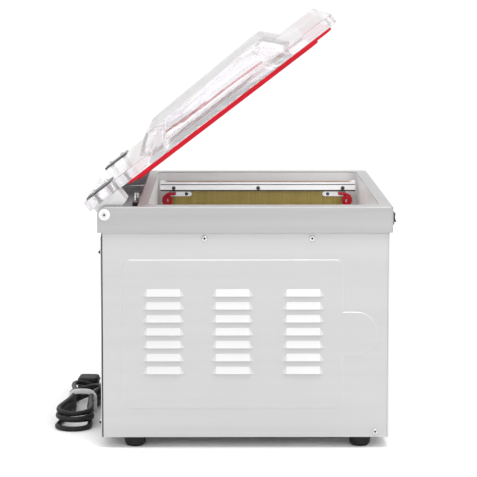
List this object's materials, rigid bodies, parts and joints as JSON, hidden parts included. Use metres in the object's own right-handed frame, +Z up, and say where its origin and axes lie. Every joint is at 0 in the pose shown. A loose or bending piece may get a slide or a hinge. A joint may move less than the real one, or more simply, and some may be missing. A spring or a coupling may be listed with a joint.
{
  "type": "chamber vacuum sealer",
  "caption": "Tabletop chamber vacuum sealer: brushed steel casing with louvered sides, clear domed lid on a rear hinge, red gasket and a lifting heat seal bar in the chamber",
  "frame": {"origin": "middle of the footprint of the machine at floor level, lid open, cord left out", "axes": "+Z up, front panel faces -Y, hinge at +Y, seal bar on the +X side"},
  "size_m": [0.4312, 0.4046, 0.5016],
  "materials": {
    "casing_steel": "fine brushed stainless sheet",
    "deck_steel": "brushed stainless, welded and polished",
    "clear_acrylic": "polished clear acrylic",
    "red_silicone": "smooth silicone",
    "black_rubber": "moulded rubber",
    "bar_aluminium": "satin anodised",
    "bright_hardware": "polished steel",
    "dark_plate": "dark blackened steel",
    "white_nylon": "moulded nylon",
    "olive_board": "laminated insulating board",
    "black_plastic": "moulded plastic",
    "membrane": "printed polyester film",
    "dark_window": "tinted window",
    "key_blue": "soft touch key",
    "dial_white": "printed dial",
    "needle_black": "painted pointer",
    "clear_glass": "flat glass",
    "tape_brown": "coated glass cloth",
    "ribbon_metal": "resistance ribbon",
    "spring_steel": "plated spring wire",
    "cast_grey": "painted casting",
    "laminated_iron": "varnished laminations",
    "board_green": "circuit board",
    "hose_clear": "flexible hose",
    "zinc_plate": "zinc plated steel",
    "cord_black": "flexible cord sheath"
  },
  "bodies": {
    "housing": {"base_plate": "zinc_plate", "rubber_feet": "black_rubber", "foot_screws": "bright_hardware", "side_panel_left": "casing_steel", "side_panel_right": "casing_steel", "panel_screws": "bright_hardware", "front_panel": "casing_steel", "control_membrane": "membrane", "display_window": "dark_window", "control_board": "board_green", "gauge_case": "bright_hardware", "gauge_dial": "dial_white", "gauge_glass": "clear_glass", "rear_panel": "casing_steel", "fuse_holder": "black_plastic", "deck": "deck_steel", "chamber_tub": "deck_steel", "filler_plate": "white_nylon", "lift_cylinders": "bright_hardware", "hinge_shaft": "bright_hardware", "hinge_caps": "white_nylon", "hinge_cap_screws": "bright_hardware", "rocker_frame": "black_plastic", "lid_springs": "spring_steel", "pump_motor": "cast_grey", "pump_block": "cast_grey", "transformer": "laminated_iron", "solenoid_valves": "bright_hardware", "vacuum_hoses": "hose_clear", "lid_switch": "black_plastic", "cord_gland": "black_rubber", "cord_lead": "cord_black", "cord_hank": "cord_black", "cord_tie": "white_nylon", "cord_plug": "black_rubber"},
    "lid": {"lid_panel": "clear_acrylic", "lid_gasket": "red_silicone", "pad_holder": "bar_aluminium", "press_pad": "red_silicone", "hinge_top_plates": "dark_plate", "hinge_brackets": "zinc_plate", "hinge_sleeves": "white_nylon", "hinge_bolts": "bright_hardware"},
    "sealing_bar": {"seal_bar": "bar_aluminium", "heating_ribbon": "ribbon_metal", "release_tape": "tape_brown", "ribbon_clamps": "bar_aluminium", "insulating_board": "olive_board", "terminal_tabs": "bright_hardware", "seal_bar_screws": "bright_hardware", "seal_wires": "red_silicone", "lift_pistons": "bright_hardware"},
    "rocker": {"power_rocker": "black_plastic"},
    "needle": {"gauge_needle": "needle_black"},
    "rotor": {"pump_rotor": "zinc_plate"},
    "switch_pin": {"lid_switch_button": "bright_hardware"},
    "push_key_1": {"key_1": "key_blue"},
    "push_key_2": {"key_2": "key_blue"},
    "push_key_3": {"key_3": "key_blue"},
    "push_key_4": {"key_4": "key_blue"}
  },
  "joints": [
    {"name": "lid_hinge", "type": "hinge", "parent": "housing", "child": "lid", "pos_m": [0, 0.1542, 0.2728], "axis": [1, 0, 0], "range_deg": [0, 37.5], "stiffness_Nm_per_rad": 3, "springref_deg": -114.59, "deforming": ["lid_springs"]},
    {"name": "seal_bar_lift", "type": "slide", "parent": "housing", "child": "sealing_bar", "axis": [0, 0, 1], "range_m": [0, 0.006], "deforming": ["seal_wires"]},
    {"name": "power_rocker_tilt", "type": "hinge", "parent": "housing", "child": "rocker", "pos_m": [-0.188, -0.1751, 0.2668], "axis": [1, 0, 0], "range_deg": [0, 12]},
    {"name": "gauge_needle_turn", "type": "hinge", "parent": "housing", "child": "needle", "pos_m": [0.118, -0.1732, 0.18], "axis": [0, 1, 0], "range_deg": [0, 270]},
    {"name": "pump_shaft_turn", "type": "hinge", "parent": "housing", "child": "rotor", "pos_m": [-0.068, 0.04, 0.088], "axis": [1, 0, 0], "continuous": true},
    {"name": "lid_switch_press", "type": "slide", "parent": "housing", "child": "switch_pin", "axis": [0, 0, -1], "range_m": [0, 0.0025]},
    {"name": "key_1_press", "type": "slide", "parent": "housing", "child": "push_key_1", "axis": [0, 1, 0], "range_m": [0, 0.0008], "stiffness_N_per_m": 1200, "springref_m": -0.0003},
    {"name": "key_2_press", "type": "slide", "parent": "housing", "child": "push_key_2", "axis": [0, 1, 0], "range_m": [0, 0.0008], "stiffness_N_per_m": 1200, "springref_m": -0.0003},
    {"name": "key_3_press", "type": "slide", "parent": "housing", "child": "push_key_3", "axis": [0, 1, 0], "range_m": [0, 0.0008], "stiffness_N_per_m": 1200, "springref_m": -0.0003},
    {"name": "key_4_press", "type": "slide", "parent": "housing", "child": "push_key_4", "axis": [0, 1, 0], "range_m": [0, 0.0008], "stiffness_N_per_m": 1200, "springref_m": -0.0003}
  ],
  "couplings": [
    {"joint": "lid_switch_press", "follows": "lid_hinge", "m_per_rad": 0.0038159}
  ]
}
